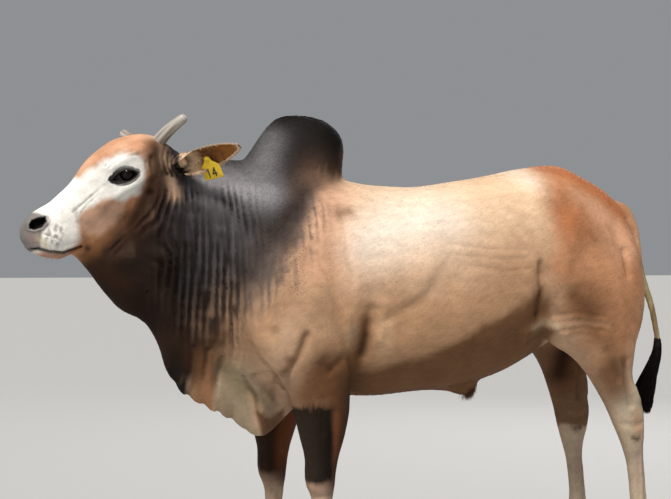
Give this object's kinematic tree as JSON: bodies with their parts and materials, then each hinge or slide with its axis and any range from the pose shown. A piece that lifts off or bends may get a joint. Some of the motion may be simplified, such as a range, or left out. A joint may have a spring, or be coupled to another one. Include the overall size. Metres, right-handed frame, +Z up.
{
  "type": "standing zebu bull",
  "caption": "Life-size still model of a humped zebu bull with dark neck, tan and cream body, folded neck skin, hanging dewlap, short horns and a plain yellow ear tag.",
  "frame": {"origin": "middle of the bottom of the bounding box, on the floor under the belly", "axes": "+X to the tail, -X to the nose, -Y to the bull's left, +Z up"},
  "size_m": [2.105, 0.549, 1.486],
  "materials": {
    "hide": "short tan and cream coat",
    "dark_hide": "short charcoal coat over loose folded skin",
    "switch_hair": "long black tail hair",
    "horn": "dull ringed horn",
    "hoof": "dull dark hoof horn",
    "eye": "wet dark brown eye",
    "ear_tag": "moulded yellow plastic"
  },
  "bodies": {
    "root": {"dewlap": "dark_hide", "ear_left": "hide", "ear_right": "hide", "ear_tag": "ear_tag", "ear_tag_button": "ear_tag", "eye_left": "eye", "eye_right": "eye", "foreleg_left_claw_inner": "hoof", "foreleg_left_claw_outer": "hoof", "foreleg_left_dewclaw_inner": "hoof", "foreleg_left_dewclaw_outer": "hoof", "foreleg_left_lower": "hide", "foreleg_left_upper": "hide", "foreleg_right_claw_inner": "hoof", "foreleg_right_claw_outer": "hoof", "foreleg_right_dewclaw_inner": "hoof", "foreleg_right_dewclaw_outer": "hoof", "foreleg_right_lower": "hide", "foreleg_right_upper": "hide", "head": "hide", "hindleg_left_claw_inner": "hoof", "hindleg_left_claw_outer": "hoof", "hindleg_left_dewclaw_inner": "hoof", "hindleg_left_dewclaw_outer": "hoof", "hindleg_left_lower": "hide", "hindleg_left_upper": "hide", "hindleg_right_claw_inner": "hoof", "hindleg_right_claw_outer": "hoof", "hindleg_right_dewclaw_inner": "hoof", "hindleg_right_dewclaw_outer": "hoof", "hindleg_right_lower": "hide", "hindleg_right_upper": "hide", "horn_left": "horn", "horn_right": "horn", "hump": "dark_hide", "neck": "dark_hide", "scrotum": "hide", "sheath": "hide", "tail_dock": "hide", "tail_middle": "hide", "tail_switch": "switch_hair", "torso": "hide"}
  },
  "joints": []
}
